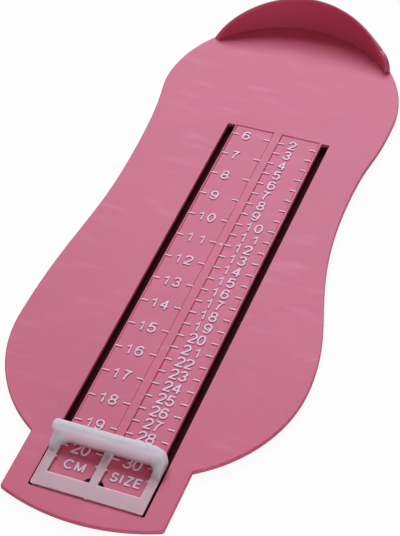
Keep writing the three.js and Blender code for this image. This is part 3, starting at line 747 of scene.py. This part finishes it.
# The milky plastic: light passes right through the upright stop and less through the thin frame.
# The frame's pink tint is painted light, standing for the pink moulding under it seen through the
# plastic. The stop is nearly white and its lip is painted greyer, a painted shade on its top.
def milky_finish():
    mat, tree, shader, place = material("milky_plastic_finish")
    cloud = spread(tree, noise(tree, place, 160.0), 0.35, 0.65)
    height = node(tree, "ShaderNodeSeparateXYZ", {"Vector": place}).outputs["Z"]
    # Painted light: the thin frame's pinkish colour stands for the pink moulding's light seen
    # through it.
    colour = blend_colour(tree, cloud, (0.72, 0.46, 0.48, 1), (0.76, 0.50, 0.52, 1))
    # By height: the foot's paler pink is painted light too, and the stop's near-white is its own
    # colour.
    for low, high, dark, pale in (
            (0.0038, 0.0044, (0.975, 0.84, 0.83, 1), (0.985, 0.86, 0.85, 1)),
            (0.0044, 0.0085, (0.945, 0.925, 0.895, 1), (0.955, 0.94, 0.91, 1)),
            # Painted shade: the lip's grey tones down the light on the stop's top.
            (0.0088, 0.0097, (0.50, 0.57, 0.53, 1), (0.54, 0.61, 0.57, 1))):
        colour = blend_colour(tree, spread(tree, height, low, high), colour,
                              blend_colour(tree, cloud, dark, pale))
    # Paler rounded edges: partly wear, partly a painted edge highlight.
    rim = node(tree, "ShaderNodeAttribute", attribute_name="rim").outputs["Fac"]
    patchy = spread(tree, noise(tree, place, 300.0, 4.0), 0.3, 0.7, 0.1, 0.5)
    worn = node(tree, "ShaderNodeMath", {0: rim, 1: patchy}, operation="MULTIPLY").outputs[0]
    colour = blend_colour(tree, worn, colour, (0.95, 0.84, 0.87, 1))
    grain = noise(tree, place, 2200.0, 2.0)
    tree.links.new(colour, shader.inputs["Base Color"])
    tree.links.new(spread(tree, noise(tree, place, 300.0, 4.0), 0.3, 0.7, 0.42, 0.54),
                   shader.inputs["Roughness"])
    bump = node(tree, "ShaderNodeBump", {"Height": grain, "Strength": 0.1, "Distance": 0.00003})
    tree.links.new(bump.outputs[0], shader.inputs["Normal"])
    tree.links.new(spread(tree, height, 0.0038, 0.0044, 0.0022, 0.014),
                   shader.inputs["Subsurface Scale"])
    shader.inputs["IOR"].default_value = 1.49
    shader.inputs["Specular IOR Level"].default_value = 0.3
    shader.inputs["Subsurface Weight"].default_value = 1.0
    shader.inputs["Subsurface Radius"].default_value = (1.0, 1.0, 1.0)
    shader.inputs["Subsurface Anisotropy"].default_value = 0.8
    return mat


slider.data.materials.clear()
slider.data.materials.append(milky_finish())


# The floor: a plain pale sheet that keeps the device's shadow, and a white surround.
SOFT_WHITE = (0.93, 0.93, 0.93, 1)
across = np.linspace(-1.5, 1.5, 7)
gx, gy = np.meshgrid(across, across, indexing="ij")
co, quads, _ = grid(np.stack([gx, gy, np.zeros_like(gx)], -1), ring=False)
floor_mesh = bpy.data.meshes.new("floor")
floor_mesh.from_pydata(co, [], quads)
floor = bpy.data.objects.new("floor", floor_mesh)
bpy.context.scene.collection.objects.link(floor)
mat, tree, shader, place = material("floor_paper")
tree.links.new(blend_colour(tree, noise(tree, place, 3.0), (0.9, 0.9, 0.9, 1), SOFT_WHITE),
               shader.inputs["Base Color"])
shader.inputs["Roughness"].default_value = 0.9
glow = node(tree, "ShaderNodeEmission", {"Color": (1, 1, 1, 1), "Strength": 1.0})
rays = node(tree, "ShaderNodeLightPath")
seen = node(tree, "ShaderNodeMath", {0: rays.outputs["Is Camera Ray"], 1: 0.95},
            operation="MULTIPLY")
both = node(tree, "ShaderNodeMixShader", {0: seen.outputs[0], 1: shader.outputs[0],
                                          2: glow.outputs[0]})
out = next(n for n in tree.nodes if n.bl_idname == "ShaderNodeOutputMaterial")
tree.links.new(both.outputs[0], out.inputs["Surface"])
floor_mesh.materials.append(mat)


# Painted shade: a matt dark sheet lies out of sight between the ribs and the floor, standing in for
# the deep shade below the slots.
under = bpy.data.meshes.new("under_sheet")
under_co, under_faces, _ = flat(outline(RIB_IN + RIB_WIDE + 0.3), [], 0.05)
under.from_pydata((under_co + TO_PART * (1, 1, 0)) / 1000, [], under_faces)
under_sheet = bpy.data.objects.new("under_sheet", under)
bpy.context.scene.collection.objects.link(under_sheet)
mat, tree, shader, place = material("painted_shade_sheet")
tree.links.new(blend_colour(tree, noise(tree, place, 900.0), (0.05, 0.012, 0.016, 1),
                            (0.09, 0.02, 0.028, 1)), shader.inputs["Base Color"])
shader.inputs["Roughness"].default_value = 1.0
shader.inputs["Specular IOR Level"].default_value = 0.0
under.materials.append(mat)


# The light: wide soft lamps behind the heel, a low weak one in front of the toe end on the right,
# and a pale room.
def lamp(name, towards, distance, width, height, power):
    """A soft, slightly cool lamp in that direction from the middle of the plate, facing it."""
    data = bpy.data.lights.new(name, "AREA")
    data.color = (0.95, 0.97, 1.12)
    data.shape, data.size, data.size_y, data.energy = "RECTANGLE", width, height, power
    obj = bpy.data.objects.new(name, data)
    bpy.context.scene.collection.objects.link(obj)
    obj.visible_camera = False
    towards = Vector(towards).normalized()
    obj.matrix_world = (Matrix.Translation(towards * distance)
                        @ towards.to_track_quat("Z", "Y").to_matrix().to_4x4())
    return obj


lamp("key_lamp", (-0.163, 0.766, 0.6225), 1.4, 0.95, 0.34, 7.5)
lamp("sky_lamp", (-0.26, 0.557, 0.788), 1.4, 0.9, 0.34, 6.8)
lamp("fill_lamp", (0.27, -0.49, 0.14), 0.58, 0.3, 0.22, 0.72)
world = bpy.data.worlds.new("room")
bpy.context.scene.world = world
world.use_nodes = True
tree = world.node_tree
tree.nodes.clear()
ray = node(tree, "ShaderNodeTexCoord").outputs["Generated"]
height = node(tree, "ShaderNodeSeparateXYZ", {"Vector": ray}).outputs["Z"]
room = node(tree, "ShaderNodeBackground", {"Color": (0.97, 0.97, 1.0, 1),
                                           "Strength": spread(tree, height, 0.0, 1.0, 0.07, 0.24)})
white = node(tree, "ShaderNodeBackground", {"Color": (1, 1, 1, 1), "Strength": 1.0})
rays = node(tree, "ShaderNodeLightPath")
seen = node(tree, "ShaderNodeMath", {0: rays.outputs["Is Camera Ray"],
                                     1: rays.outputs["Is Transmission Ray"]}, operation="MAXIMUM")
both = node(tree, "ShaderNodeMixShader", {0: seen.outputs[0], 1: room.outputs[0],
                                          2: white.outputs[0]})
node(tree, "ShaderNodeOutputWorld", {"Surface": both.outputs[0]})


# The camera, where the photograph was taken from: above the toe end and to the right.
up, round_, roll = math.radians(46.18), math.radians(24.15), math.radians(-3.85)
back = Vector((math.sin(round_) * math.cos(up), -math.cos(round_) * math.cos(up), math.sin(up)))
level = Vector((0, 0, 1)).cross(back).normalized()
upright = back.cross(level)
camera_x = math.cos(roll) * level + math.sin(roll) * upright
camera_y = math.cos(roll) * upright - math.sin(roll) * level
lens = bpy.data.cameras.new("camera")
lens.lens = 1860.8 / 536 * 36
lens.sensor_width, lens.sensor_fit, lens.clip_start = 36, "AUTO", 0.01
camera = bpy.data.objects.new("camera", lens)
bpy.context.scene.collection.objects.link(camera)
camera.matrix_world = Matrix((
    (camera_x.x, camera_y.x, back.x, 0.16318),
    (camera_x.y, camera_y.y, back.y, -0.37777),
    (camera_x.z, camera_y.z, back.z, 0.42205),
    (0, 0, 0, 1)))
bpy.context.scene.camera = camera
bpy.context.scene.view_settings.view_transform = "Standard"
